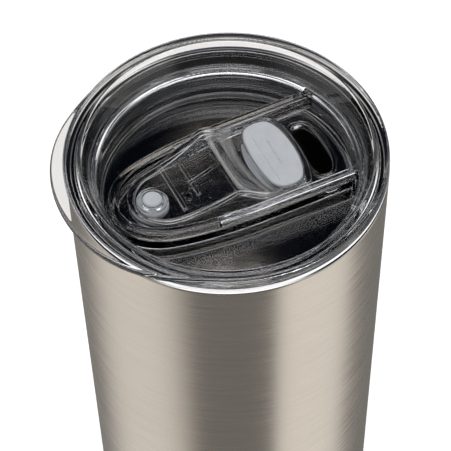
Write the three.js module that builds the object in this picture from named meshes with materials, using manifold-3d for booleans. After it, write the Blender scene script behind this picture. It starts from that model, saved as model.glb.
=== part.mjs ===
// Insulated travel mug: a double-wall steel tumbler with a clear press-in lid and a sliding closure.
// Millimetres, +Z up. Origin at the centre of the foot ring, on the resting plane.
// The slider's track runs along X: the drinking slot is on the +X side, the thumb tab on the -X side.
// The lid and slider are drawn about the lid datum, the top face of the flange (z = 0 there).
import * as THREE from "three";
import { mergeVertices } from "three/addons/utils/BufferGeometryUtils.js";
import Module from "manifold-3d";

const wasm = await Module();
wasm.setup();

// ---------------------------------------------------------------- driving dimensions
const SEG = 48; // facets round the cup's axis
const CUT = 1; // how far a cutting or clipping solid runs past the part

// Steel cup
const RIM_Z = 170; // top of the steel mouth
const RIM_R = 44.5; // outer radius at the mouth
const TAPER = 0.05; // radius lost per millimetre of height
const STEEL = 0.8; // sheet thickness
const VAC_GAP = 2.2; // vacuum space between the walls
const NECK_GAP = 0.25; // space between the walls at the liner's neck
const LIP_H = 0.6; // height of the liner's rolled lip over the shell's edge
const LIP_GAP = 0.15; // space between the shell's edge and the lip
const FOOT_R = 33.2; // outer radius of the flat foot ring
const FOOT_IN = 31.2; // inner radius of the flat foot ring
const GETTER_X = 17; // centre of the getter and its clip

// Lid
const LID_GAP = 0.3; // seam between the steel lip and the lid's flange
const FLANGE_H = 5.0; // height of the lid's flange
const LID_Z = RIM_Z + LID_GAP + FLANGE_H; // height of the lid datum
const MOUTH_R = 40.4; // inner edge of the flange's top face
const WELL_R = 35.9; // radius of the lid's well
const DECK_Z = -15.4; // top of the deck
const DECK_T = 1.8; // deck thickness
const DECK_BOTTOM = DECK_Z - DECK_T;
const SKIRT_Z = -19.6; // bottom of the plug's skirt

const TAB_OUT = 4.8; // how far the thumb tab stands out past the flange
const TAB_T = 2.0; // thumb tab thickness
const TAB_IN_R = 42.6; // inner radius of the tab, buried in the flange
const TAB_HALF_ANGLE = 60; // degrees either side of the tab's middle

// Platform and rail that carry the slider
const PLATFORM_R = WELL_R + 0.5; // runs into the well's wall
const RAIL_TOP = -6.8; // top of the U-shaped rail wall
const RAIL_W = 16.4; // half width outside the rail
const STEP_LOW = -14.0; // top of the platform's lowest tier
const STEP_HIGH = -11.0; // top of its middle tier
const STEP_OVERLAP = 0.2; // how far each tier reaches down into the one below
const FOOT_TO_RAIL = 0.45; // middle tier's place between the foot outline and the rail's
const TRACK_FLOOR = -12.0; // floor of the slider's track
const TRACK_T = 1.8; // thickness of the track's floor
const TRACK_W = 14.3; // half width inside the rail
const TRACK_WALL = 0.35; // gap from the track's open end to the well's radius
const GROOVE_W = 15.35; // half width at the bottom of the runner grooves
const GROOVE_OVERLAP = 0.3; // how far the groove cutters start inside the track
const GROOVE_LO = -10.1;
const GROOVE_HI = -8.2;

// Openings in the track's floor
const SLOT_X = 26.4; // middle of the drinking slot on the centre line
const SLOT_HALF_W = 3.3;
const SLOT_HALF_L = 9.6;
const SLOT_POINTS = 28;
const SLOT_POWER = 0.72; // superellipse exponent: 1 is an ellipse, less is squarer
const SLOT_BOW = 110; // x shift is y squared over this
const SLOT_LIP_W = 1.1;
const SLOT_LIP_H = 0.25;
const VENT_X = -11.9; // centre of the vent hole
const VENT_R = 1.1;

// Slider
const TRAVEL = 11.0; // slider travel, open to closed
const PLUG_X = VENT_X - TRAVEL; // centre of the vent plug with the slider open
const BOSS_R = 4.0; // boss round the vent plug
const BOSS_HOLE_R = 2.95;
const SLIDER_W = 13.9; // half width of the slider's head
const RUNNER_W = 14.95; // half width over the runners
const RUNNER_ROOT = 1.2; // how far the runners reach into the slider's sides
const SLIDER_BOTTOM = -10.7;
const SLIDER_WALL = 1.7; // side wall thickness
const SLIDER_TOP_T = 1.5; // top wall thickness
const CLIP_HALF_W = 20; // half width of the side-profile clipping solids

// ---------------------------------------------------------------- materials
const MATERIALS = {
  shellSteel: { color: 0xb9b2a8, roughness: 0.32, metalness: 1 },
  linerSteel: { color: 0xc4c0ba, roughness: 0.3, metalness: 1 },
  panSteel: { color: 0xb6b1aa, roughness: 0.4, metalness: 1 },
  plateSteel: { color: 0xb9b2a8, roughness: 0.34, metalness: 1 },
  clipSteel: { color: 0xa9a7a3, roughness: 0.35, metalness: 1 },
  solderGlass: { color: 0x3c4247, roughness: 0.2, metalness: 0 },
  pellet: { color: 0x5b5a58, roughness: 0.85, metalness: 0.3 },
  clearLid: { color: 0xe9eef2, roughness: 0.05, metalness: 0, opacity: 0.3 },
  clearSlider: { color: 0xeef2f5, roughness: 0.05, metalness: 0, opacity: 0.3 },
  clearSilicone: { color: 0xd9dde0, roughness: 0.35, metalness: 0, opacity: 0.6 },
  milkySilicone: { color: 0xd4d8da, roughness: 0.45, metalness: 0, opacity: 0.95 },
};

function makeMaterial({ opacity = 1, ...finish }) {
  return new THREE.MeshStandardMaterial({ ...finish, opacity, transparent: opacity < 1 });
}

// ---------------------------------------------------------------- solids
// Welds a closed geometry into a solid, turning its faces outward if they point in.
function toSolid(geometry) {
  const bare = geometry.clone();
  bare.deleteAttribute("normal");
  bare.deleteAttribute("uv");
  const welded = mergeVertices(bare, 1e-4);
  const index = welded.index.array;
  const triangles = [];
  for (let i = 0; i < index.length; i += 3) {
    const corners = [...index.slice(i, i + 3)];
    if (new Set(corners).size === 3) triangles.push(corners);
  }
  const build = (faces) =>
    new wasm.Manifold(
      new wasm.Mesh({
        numProp: 3,
        vertProperties: Float32Array.from(welded.attributes.position.array),
        triVerts: Uint32Array.from(faces.flat()),
      }),
    );
  const solid = build(triangles);
  if (solid.volume() > 0) return solid;
  return build(triangles.map(([a, b, c]) => [a, c, b]));
}

function toGeometry(solid) {
  const { numProp, numVert, vertProperties, triVerts } = solid.getMesh();
  const positions = new Float32Array(numVert * 3);
  for (let i = 0; i < numVert; i++)
    positions.set(vertProperties.subarray(i * numProp, i * numProp + 3), i * 3);
  const geometry = new THREE.BufferGeometry()
    .setAttribute("position", new THREE.BufferAttribute(positions, 3))
    .setIndex(new THREE.BufferAttribute(Uint32Array.from(triVerts), 1));
  geometry.computeVertexNormals();
  return geometry;
}

// A [radius, z] profile turned about Z. One that doesn't start and end on the axis is closed first.
function turned(profile, segments = SEG) {
  const points = profile.map(([radius, z]) => new THREE.Vector2(radius, z));
  if (profile[0][0] > 0 || profile.at(-1)[0] > 0) points.push(points[0].clone());
  return toSolid(new THREE.LatheGeometry(points, segments).rotateX(Math.PI / 2));
}

function extrude(outline, depth) {
  const shape = new THREE.Shape(outline.map(([x, y]) => new THREE.Vector2(x, y)));
  return new THREE.ExtrudeGeometry(shape, { depth, bevelEnabled: false });
}

// A plan outline [x, y] raised from z0 to z1.
function raised(outline, z0, z1) {
  return toSolid(extrude(outline, z1 - z0).translate(0, 0, z0));
}

// A side profile [x, z] drawn across the part, halfWidth to each side in y.
function across(profile, halfWidth) {
  return toSolid(
    extrude(profile, 2 * halfWidth).rotateX(Math.PI / 2).translate(0, halfWidth, 0),
  );
}

function block([x0, x1], [y0, y1], [z0, z1]) {
  return toSolid(
    new THREE.BoxGeometry(x1 - x0, y1 - y0, z1 - z0).translate(
      (x0 + x1) / 2,
      (y0 + y1) / 2,
      (z0 + z1) / 2,
    ),
  );
}

// Two blocks mirrored in y: the -Y one, then the +Y one.
function sideBlocks(xRange, [yNear, yFar], zRange) {
  return [block(xRange, [-yFar, -yNear], zRange), block(xRange, [yNear, yFar], zRange)];
}

// An upright cylinder centred on y = 0.
function post(x, radius, z0, z1, segments) {
  return toSolid(
    new THREE.CylinderGeometry(radius, radius, z1 - z0, segments)
      .rotateX(Math.PI / 2)
      .translate(x, 0, (z0 + z1) / 2),
  );
}

// ---------------------------------------------------------------- outlines
// Closes the +Y half of a plan outline (-X end to +X end) with its mirror image.
function mirrored(half) {
  const lower = half.filter(([, y]) => y > 1e-6).map(([x, y]) => [x, -y]);
  return [...half, ...lower.reverse()];
}

function smooth(points, divisions) {
  const curve = new THREE.CatmullRomCurve3(
    points.map(([x, y]) => new THREE.Vector3(x, y, 0)),
    false,
    "centripetal",
  );
  return curve.getPoints(divisions).map(({ x, y }) => [x, y]);
}

// The point a given fraction of the way along a polyline.
function pointAlong(line, fraction) {
  const lengths = [0];
  for (let i = 1; i < line.length; i++) {
    const step = Math.hypot(line[i][0] - line[i - 1][0], line[i][1] - line[i - 1][1]);
    lengths.push(lengths[i - 1] + step);
  }
  const goal = fraction * lengths.at(-1);
  const end = lengths.findIndex((length, i) => i > 0 && goal <= length + 1e-9);
  const [from, to] = [line[end - 1], line[end]];
  const part = (goal - lengths[end - 1]) / (lengths[end] - lengths[end - 1]);
  return [from[0] + part * (to[0] - from[0]), from[1] + part * (to[1] - from[1])];
}

// A polyline the given share of the way from one polyline to another.
function blend(lineA, lineB, share) {
  const steps = 24;
  return Array.from({ length: steps + 1 }, (_, i) => {
    const [ax, ay] = pointAlong(lineA, i / steps);
    const [bx, by] = pointAlong(lineB, i / steps);
    return [ax + share * (bx - ax), ay + share * (by - ay)];
  });
}

// ---------------------------------------------------------------- steel cup
const shellR = (z) => RIM_R - TAPER * (RIM_Z - z);
const shellInR = (z) => shellR(z) - STEEL;
const linerR = (z) => shellInR(z) - VAC_GAP;
const linerInR = (z) => linerR(z) - STEEL;
const neckR = (z) => shellInR(z) - NECK_GAP;
const neckInR = (z) => neckR(z) - STEEL;

// Outer shell: one tapered sheet, turned in at the bottom into the foot ring.
function outerShell() {
  const top = RIM_Z - LIP_H - LIP_GAP;
  return turned([
    [shellR(top), top], [shellR(120), 120], [shellR(60), 60], [shellR(4.6), 4.6],
    [35.95, 2.9], [35.4, 1.5], [34.5, 0.5], [FOOT_R, 0],
    [FOOT_IN, 0], [30.9, 0.3], [30.9, 2.6], [31.7, 2.6], [31.7, STEEL],
    [FOOT_R, STEEL], [34.1, 1.2], [34.8, 2.1], [35.15, 3.2],
    [shellInR(4.8), 4.8], [shellInR(60), 60], [shellInR(120), 120], [shellInR(top), top],
  ]);
}

// Inner liner: the drinking vessel. Its neck widens to meet the shell, its lip covers the shell's edge.
function innerLiner() {
  const lipBottom = RIM_Z - LIP_H;
  return turned([
    // outside, from the floor up
    [0, 9.0], [26.0, 9.0], [29.6, 9.9], [32.2, 12.2],
    [linerR(16), 16], [linerR(90), 90], [linerR(150), 150],
    [neckR(157), 157], [neckR(lipBottom), lipBottom],
    // rolled lip
    [RIM_R - 0.25, lipBottom], [RIM_R, RIM_Z - LIP_H / 2], [RIM_R - 0.25, RIM_Z],
    [neckInR(RIM_Z) + 0.3, RIM_Z], [neckInR(RIM_Z), RIM_Z - 0.4],
    // inside, back down to the floor
    [neckInR(156.6), 156.6], [linerInR(149.6), 149.6],
    [linerInR(90), 90], [linerInR(16), 16.3],
    [31.5, 12.9], [29.2, 10.8], [25.9, 9.8], [0, 9.8],
  ]);
}

// Bottom pan: a stamped disc inside the foot ring, with a raised dimple round the evacuation port.
function bottomPan() {
  return turned([
    [0.9, 4.5], [4.6, 4.5], [6.2, 2.7], [28.6, 2.7], [30.6, 2.2],
    [30.6, 1.4], [28.5, 1.9], [5.9, 1.9], [4.3, 3.7], [0.9, 3.7],
  ]);
}

// Base plate: the flat disc that hides the port, flush with the foot ring, with a turned-up edge.
function basePlate() {
  return turned([
    [0, 0], [29.4, 0], [30.2, 0.15], [30.6, 0.6],
    [30.6, 1.1], [29.6, 1.1], [29.0, STEEL], [0, STEEL],
  ]);
}

// Seal bead: the solder-glass plug that closes the port after evacuation.
function sealBead() {
  return turned(
    [[0, 1.9], [2.0, 2.1], [2.8, 2.8], [2.8, 3.5], [0.75, 3.5], [0.75, 4.3], [0, 4.5]],
    24,
  );
}

// Getter: a pressed pellet that keeps the vacuum.
function getterPellet() {
  return post(GETTER_X, 4.0, 3.0, 5.4, 24);
}

// Getter clip: a bent strip that bridges the pellet along Y. The profile is [along strip, z].
function getterClip() {
  const profile = [
    [-8.5, 3.0], [-4.5, 3.0], [-4.5, 5.7], [4.5, 5.7], [4.5, 3.0], [8.5, 3.0],
    [8.5, 3.5], [5.0, 3.5], [5.0, 6.2], [-5.0, 6.2], [-5.0, 3.5], [-8.5, 3.5],
  ];
  return across(profile, 2).rotate([0, 0, 90]).translate([GETTER_X, 0, 0]);
}

// ---------------------------------------------------------------- lid
// [degrees from the tab's middle, share of TAB_OUT its edge stands out past the flange]
const TAB_TABLE = [
  [0, 1.0], [10, 0.985], [20, 0.9], [30, 0.72], [37, 0.53],
  [43, 0.34], [50, 0.12], [56, 0.02], [62, -0.06],
];

function tabReach(degrees) {
  const angle = Math.abs(degrees);
  const next = TAB_TABLE.findIndex(([limit], i) => i > 0 && angle <= limit);
  const [angle0, reach0] = TAB_TABLE[next - 1];
  const [angle1, reach1] = TAB_TABLE[next];
  return reach0 + ((reach1 - reach0) * (angle - angle0)) / (angle1 - angle0);
}

// Thumb tab: out along its edge, back along an arc inside the flange.
function thumbTab() {
  const outline = [];
  const addPoint = (radius, degrees) => {
    const angle = Math.PI + (degrees * Math.PI) / 180;
    outline.push([radius * Math.cos(angle), radius * Math.sin(angle)]);
  };
  for (let d = -TAB_HALF_ANGLE; d <= TAB_HALF_ANGLE; d += 4)
    addPoint(RIM_R + TAB_OUT * tabReach(d), d);
  for (let d = TAB_HALF_ANGLE; d >= -TAB_HALF_ANGLE; d -= 6) addPoint(TAB_IN_R, d);
  return raised(outline, -TAB_T, 0);
}

// Plan outlines [x, y], +Y halves from the -X end.
const RAIL_OUTER = [
  ...smooth(
    [
      [-34.9, 0], [-34.2, 4.2], [-32.2, 7.9], [-28.9, 11.0],
      [-24.2, 13.2], [-17.5, 14.7], [-9.0, 15.8], [0, RAIL_W],
    ],
    14,
  ),
  [PLATFORM_R, RAIL_W],
];
const RAIL_INNER = [
  ...smooth(
    [
      [-32.7, 0], [-31.9, 3.6], [-29.9, 6.6], [-27.0, 9.1],
      [-22.8, 11.1], [-16.6, 12.6], [-8.8, 13.7], [0, TRACK_W],
    ],
    14,
  ),
  [37, TRACK_W],
];
const PLATFORM_FOOT = smooth(
  [
    [-34.9, 0], [-34.3, 4.8], [-32.4, 8.8], [-29.0, 12.2], [-24.2, 14.7], [-17.5, 16.3],
    [-9.0, 17.3], [0, 17.8], [12, 17.6], [24, 16.9], [PLATFORM_R, RAIL_W + 0.02],
  ],
  18,
);
const PLATFORM_HOLLOW = [
  ...smooth(
    [
      [-31.6, 0], [-30.6, 4.4], [-27.4, 8.4], [-22.4, 11.2], [-15.5, 12.9],
      [-8.0, 13.8], [0, 14.3], [22, 14.3], [29.5, 13.0],
    ],
    14,
  ),
  [33.0, 8.5],
  [33.6, 0],
];

// Drinking slot: a superellipse whose ends bow towards -X, following the wall of the well.
function slotOutline(grow) {
  const squared = (value) => Math.sign(value) * Math.pow(Math.abs(value), SLOT_POWER);
  return Array.from({ length: SLOT_POINTS }, (_, i) => {
    const angle = (i / SLOT_POINTS) * Math.PI * 2;
    const y = (SLOT_HALF_L + grow) * squared(Math.sin(angle));
    const x = (SLOT_HALF_W + grow) * squared(Math.cos(angle)) - (y * y) / SLOT_BOW;
    return [SLOT_X + x, y];
  });
}

// Deck, well, flange and plug in one turned profile.
function lidRing() {
  return turned([
    // deck top and well wall
    [0, DECK_Z], [33.6, DECK_Z], [34.8, DECK_Z + 0.35], [35.5, DECK_Z + 1.1],
    [WELL_R - 0.1, DECK_Z + 2.2], [WELL_R, -7.1],
    // flare up to the mouth
    [36.3, -6.6], [37.3, -5.1], [38.5, -3.2], [39.6, -1.4], [MOUTH_R, -0.3],
    // flange
    [MOUTH_R + 0.4, 0], [43.6, 0], [44.25, -0.35], [RIM_R, -1.1], [RIM_R, -4.5],
    [44.2, -FLANGE_H], [43.4, -FLANGE_H], [41.9, -FLANGE_H],
    // plug, with the gasket's groove
    [41.6, -5.6], [40.9, -6.0], [39.4, -7.6], [39.2, -9.6],
    [37.7, -9.6], [37.7, -15.0], [39.0, -15.0],
    // skirt and deck underside
    [38.9, -16.4], [38.2, -19.0], [37.6, SKIRT_Z], [36.2, SKIRT_Z], [35.7, -18.0],
    [34.2, DECK_BOTTOM], [0, DECK_BOTTOM],
  ]);
}

// Platform: three tiers that narrow upwards from the foot to the rail, clipped to the well.
function platform() {
  const middle = blend(PLATFORM_FOOT, RAIL_OUTER, FOOT_TO_RAIL);
  return raised(mirrored(PLATFORM_FOOT), DECK_BOTTOM, STEP_LOW)
    .add(raised(mirrored(middle), STEP_LOW - STEP_OVERLAP, STEP_HIGH))
    .add(raised(mirrored(RAIL_OUTER), STEP_HIGH - STEP_OVERLAP, RAIL_TOP))
    .intersect(post(0, PLATFORM_R, DECK_BOTTOM, RAIL_TOP, SEG));
}

function lidBody() {
  const trackPocket = raised(mirrored(RAIL_INNER), TRACK_FLOOR, RAIL_TOP + CUT).intersect(
    post(0, WELL_R - TRACK_WALL, TRACK_FLOOR - CUT, RAIL_TOP + 2 * CUT, SEG),
  );
  const underHollow = raised(
    mirrored(PLATFORM_HOLLOW),
    DECK_BOTTOM - CUT,
    TRACK_FLOOR - TRACK_T,
  );
  let lid = lidRing().add(thumbTab()).add(platform());
  lid = lid.subtract(trackPocket).subtract(underHollow);
  // runner grooves in both sides of the rail
  const grooveY = [TRACK_W - GROOVE_OVERLAP, GROOVE_W];
  for (const groove of sideBlocks([-9.5, 31.5], grooveY, [GROOVE_LO, GROOVE_HI]))
    lid = lid.subtract(groove);
  // raised lip round the drinking slot, its root sunk in the track's floor
  const slotLip = raised(
    slotOutline(SLOT_LIP_W),
    TRACK_FLOOR - 0.5,
    TRACK_FLOOR + SLOT_LIP_H,
  ).intersect(post(0, WELL_R, TRACK_FLOOR - CUT, TRACK_FLOOR + CUT, SEG));
  return lid
    .add(slotLip)
    .subtract(raised(slotOutline(0), DECK_BOTTOM - CUT, TRACK_FLOOR + CUT))
    .subtract(post(VENT_X, VENT_R, DECK_BOTTOM - CUT, TRACK_FLOOR + CUT, 16));
}

// Gasket: a clear silicone ring in the plug's groove, with two fins that wipe the steel neck.
function lidGasket() {
  return turned([
    [38.05, -9.9], [39.3, -9.9], [39.9, -10.5],
    [41.35, -10.1], [41.5, -10.6], [40.2, -11.5], // upper fin
    [39.9, -12.3], [40.2, -12.9],
    [41.35, -12.7], [41.4, -13.3], [40.0, -14.1], // lower fin
    [39.3, -14.7], [38.05, -14.7],
  ]);
}

// ---------------------------------------------------------------- slider, drawn open (towards the tab)
// Plan outline: round tail at -X, widening to the head, bowed nose at +X.
function sliderPlan(inset) {
  return mirrored([
    ...smooth(
      [
        [-29.6 + inset, 0],
        [-28.9 + inset, 3.6],
        [-26.6 + inset * 0.8, 7.0 - inset * 0.5],
        [-22.8 + inset * 0.4, 9.7 - inset * 0.9],
        [-17.0, 11.0 - inset],
        [-9.0, 12.1 - inset],
        [-3.0, 13.0 - inset],
        [1.5, 13.6 - inset],
        [6.0, SLIDER_W - inset],
      ],
      16,
    ),
    [17.6, SLIDER_W - inset],
    [19.6 - inset * 0.7, 12.6 - inset * 0.7],
    [20.9 - inset, 8.6],
    [21.6 - inset, 4.2],
    [21.8 - inset, 0],
  ]);
}

// Side profile [x, z] of the top: flat tail, ramp to the thumb ridge, hollow down to the head.
const TOP_LINE = [
  [-31, -7.3], [-22, -7.25], [-17.6, -6.9], [-12.0, -5.4], [-7.0, -3.4],
  [-4.2, -2.0], [-2.8, -1.5], [-1.4, -1.75], [0.8, -2.9], [3.6, -5.0],
  [6.2, -6.6], [8.6, -7.2], [12.0, -7.35], [23, -7.4],
];

// Clipping solid: all the space below the top line once it is lowered by drop.
function belowTopLine(drop) {
  const floor = SLIDER_BOTTOM - 2 * CUT;
  const lowered = TOP_LINE.map(([x, z]) => [x, z - drop]);
  return across([...lowered, [23, floor], [-31, floor]], CLIP_HALF_W);
}

// Plan outline of the drink seal's raised top, and of the window it fills.
function padPlan(inset) {
  return mirrored(
    smooth(
      [
        [8.0 + inset, 0],
        [8.2 + inset, 4.5],
        [9.0 + inset, 8.8 - inset * 0.5],
        [10.6 + inset, 11.3 - inset],
        [13.6, 12.1 - inset],
        [17.0 - inset, 11.4 - inset],
        [18.9 - inset, 8.6 - inset * 0.5],
        [19.9 - inset, 4.4],
        [20.2 - inset, 0],
      ],
      18,
    ),
  );
}

function sliderBody() {
  const underside = SLIDER_BOTTOM - CUT;
  const hollow = raised(sliderPlan(SLIDER_WALL), underside, 0).intersect(
    belowTopLine(SLIDER_TOP_T),
  );
  // short centre rib under the ramp
  const centreRib = block([-11.6, -4.6], [-0.3, 0.3], [-9.4, -3.0]).intersect(
    belowTopLine(0.6),
  );
  let slider = raised(sliderPlan(0), SLIDER_BOTTOM, 0)
    .intersect(belowTopLine(0))
    .subtract(hollow)
    .add(centreRib);
  // tail boss for the vent plug
  slider = slider
    .add(post(PLUG_X, BOSS_R, -9.3, -7.4, 28))
    .subtract(post(PLUG_X, BOSS_HOLE_R, underside, 0, 28));
  // runners that ride in the lid's grooves
  const runnerLimit = raised(sliderPlan(-1.2), SLIDER_BOTTOM, 0);
  const runnerY = [SLIDER_W - RUNNER_ROOT, RUNNER_W];
  for (const runner of sideBlocks([-7.6, 18.2], runnerY, [-9.7, -8.5]))
    slider = slider.add(runner.intersect(runnerLimit));
  // two finger-grip ribs standing above the ramp
  const ribLimit = belowTopLine(-0.45);
  slider = slider
    .add(block([-17.0, -15.9], [-7.6, 9.0], [-8, -3]).intersect(ribLimit))
    .add(block([-11.9, -10.9], [-5.6, 6.0], [-6.6, -3]).intersect(ribLimit));
  // window for the drink seal's raised top
  return slider.subtract(raised(padPlan(-0.25), underside, 0));
}

// Drink seal: its top fills the head's window, its foot covers the drinking slot when shut.
function drinkSeal() {
  const foot = mirrored(
    smooth(
      [
        [6.4, 0], [6.9, 4.6], [8.4, 9.0], [11.2, 11.4], [14.6, 11.9],
        [18.0, 11.0], [19.4, 7.4], [19.95, 3.6], [20.05, 0],
      ],
      16,
    ),
  );
  return raised(padPlan(0.05), -11.0, -7.15).add(raised(foot, -11.55, -10.95));
}

// Vent seal: a plug with a nub that snaps up through the tail.
function ventSeal() {
  const profile = [
    [0, -11.6], [4.2, -11.6], [4.6, -11.2], [4.6, -10.0], [4.2, -9.6],
    [2.7, -9.6], [2.7, -7.15], [2.3, -6.8], [0, -6.8],
  ];
  return turned(profile, 28).translate([PLUG_X, 0, 0]);
}

// ---------------------------------------------------------------- assembly
const mug = new THREE.Group();
const lidGroup = new THREE.Group();
lidGroup.position.z = LID_Z;
const sliderGroup = new THREE.Group();
lidGroup.add(sliderGroup);
mug.add(lidGroup);

function addPiece(group, name, solid, finish) {
  const mesh = new THREE.Mesh(toGeometry(solid), makeMaterial(finish));
  mesh.name = name;
  group.add(mesh);
}

addPiece(mug, "outer_shell", outerShell(), MATERIALS.shellSteel);
addPiece(mug, "inner_liner", innerLiner(), MATERIALS.linerSteel);
addPiece(mug, "bottom_pan", bottomPan(), MATERIALS.panSteel);
addPiece(mug, "base_plate", basePlate(), MATERIALS.plateSteel);
addPiece(mug, "seal_bead", sealBead(), MATERIALS.solderGlass);
addPiece(mug, "getter_pellet", getterPellet(), MATERIALS.pellet);
addPiece(mug, "getter_clip", getterClip(), MATERIALS.clipSteel);

addPiece(lidGroup, "lid_body", lidBody(), MATERIALS.clearLid);
addPiece(lidGroup, "lid_gasket", lidGasket(), MATERIALS.clearSilicone);

addPiece(sliderGroup, "slider_body", sliderBody(), MATERIALS.clearSlider);
addPiece(sliderGroup, "drink_seal", drinkSeal(), MATERIALS.milkySilicone);
addPiece(sliderGroup, "vent_seal", ventSeal(), MATERIALS.milkySilicone);

export default mug;
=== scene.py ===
"""Insulated travel mug: double-walled steel cup, clear press-in lid and a sliding closure.

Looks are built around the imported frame. Blender works in metres with +Z up; sizes here are in
millimetres and meshes are scaled as they are made. The mug stands on z = 0 with its axis on Z.
The lid's drinking slot lies towards +X and its thumb tab towards -X.
"""
import itertools
import math

import bpy
import numpy as np
from mathutils import Matrix, Vector


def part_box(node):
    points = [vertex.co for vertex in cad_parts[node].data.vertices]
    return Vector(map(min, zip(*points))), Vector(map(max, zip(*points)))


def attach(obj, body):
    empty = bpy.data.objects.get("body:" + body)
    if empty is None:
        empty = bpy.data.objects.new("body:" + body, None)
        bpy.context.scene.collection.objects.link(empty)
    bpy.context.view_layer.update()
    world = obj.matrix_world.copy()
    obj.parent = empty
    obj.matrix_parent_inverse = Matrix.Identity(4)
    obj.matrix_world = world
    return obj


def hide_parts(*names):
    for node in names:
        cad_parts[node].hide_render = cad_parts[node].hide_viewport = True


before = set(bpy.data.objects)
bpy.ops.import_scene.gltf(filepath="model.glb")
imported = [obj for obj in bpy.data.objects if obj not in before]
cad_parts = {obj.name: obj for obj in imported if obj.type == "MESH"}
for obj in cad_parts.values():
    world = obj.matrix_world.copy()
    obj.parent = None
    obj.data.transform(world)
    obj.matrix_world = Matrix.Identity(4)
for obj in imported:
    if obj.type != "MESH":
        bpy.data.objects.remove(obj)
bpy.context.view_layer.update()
scene = bpy.context.scene


def cad_middle_x(piece):
    low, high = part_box(piece)
    return (low.x + high.x) * 500


# ------------------------------------------------------------------ dimensions, millimetres
RIM_Z, RIM_R = 170.0, 44.5
TAPER = 0.05  # radius lost per millimetre below the rim
STEEL = 0.8  # sheet thickness
VACUUM_GAP = 2.2  # between the walls
NECK_GAP = 0.25  # between the walls near the rim
LIP_H = 0.6  # the liner's rolled lip over the shell

# Lid heights are measured from the top of the flange, which stands at LID_Z.
LID_Z = round(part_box("lid_body")[1].z * 1000, 3)
DECK_Z, DECK_THICK, SKIRT_Z = -15.4, 1.8, -19.6
RAIL_TOP, TRACK_FLOOR, TRACK_THICK = -6.8, -12.0, 1.8
VENT_X, VENT_R = -11.9, 0.95
PLUG_X = round(cad_middle_x("vent_seal"), 3)

# Mesh fineness
LATHE_SEGMENTS = 288
LID_CELL = 0.3
SLIDER_CELL = 0.2


def outer_r(z):
    return RIM_R - TAPER * (RIM_Z - z)


# ------------------------------------------------------------------ turned pieces
def edge_normal(start, end):
    along = end - start
    along = along / (np.linalg.norm(along) + 1e-12)
    return np.array([along[1], -along[0]])


def fillet(rows, closed, max_turn):
    """Rounds a counter-clockwise profile of (r, z, fillet radius) rows, with an arc point at
    least every max_turn degrees. Returns the points and their outward normals."""
    corners = np.array([row[:2] for row in rows], float)
    last = len(corners) - 1
    points, normals = [], []
    for i, corner in enumerate(corners):
        if not closed and i in (0, last):
            ends = (corner, corners[1]) if i == 0 else (corners[i - 1], corner)
            points.append(corner)
            normals.append(edge_normal(*ends))
            continue
        before, after = corners[i - 1], corners[(i + 1) % (last + 1)]
        n1, n2 = edge_normal(before, corner), edge_normal(corner, after)
        turn = math.atan2(n1[0] * n2[1] - n1[1] * n2[0], n1 @ n2)
        if rows[i][2] <= 0 or abs(turn) < 0.02:
            middle = n1 + n2
            points.append(corner)
            normals.append(middle / np.linalg.norm(middle))
            continue
        length_before = np.linalg.norm(before - corner)
        length_after = np.linalg.norm(after - corner)
        # the arc may use just under half of each neighbouring edge
        half_tan = math.tan(abs(turn) / 2)
        trim = min(rows[i][2] * half_tan, 0.48 * length_before, 0.48 * length_after)
        radius = trim / half_tan
        start = corner + (before - corner) / length_before * trim
        side = -1.0 if turn > 0 else 1.0
        centre = start + n1 * radius * side
        steps = max(2, int(math.ceil(math.degrees(abs(turn)) / max_turn)))
        for k in range(steps + 1):
            cos, sin = math.cos(turn * k / steps), math.sin(turn * k / steps)
            normal = np.array([n1[0] * cos - n1[1] * sin, n1[0] * sin + n1[1] * cos])
            points.append(centre - normal * radius * side)
            normals.append(normal)
    return np.array(points), np.array(normals)


def new_mesh(name, verts_mm, faces, normals):
    """faces: list of (count, corners) integer arrays, one per face size."""
    mesh = bpy.data.meshes.new(name)
    verts = np.asarray(verts_mm, np.float64) / 1000.0
    mesh.vertices.add(len(verts))
    mesh.vertices.foreach_set("co", verts.astype(np.float32).ravel())
    loops = np.concatenate([f.ravel() for f in faces]).astype(np.int32)
    sizes = np.concatenate([np.full(len(f), f.shape[1]) for f in faces])
    starts = np.concatenate([[0], np.cumsum(sizes)[:-1]]).astype(np.int32)
    mesh.loops.add(len(loops))
    mesh.loops.foreach_set("vertex_index", loops)
    mesh.polygons.add(len(sizes))
    mesh.polygons.foreach_set("loop_start", starts)
    mesh.update(calc_edges=True)
    mesh.validate()
    mesh.polygons.foreach_set("use_smooth", np.ones(len(mesh.polygons), bool))
    mesh.normals_split_custom_set_from_vertices(np.asarray(normals, np.float32).tolist())
    mesh.update()
    piece = bpy.data.objects.new(name, mesh)
    scene.collection.objects.link(piece)
    return piece


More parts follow.
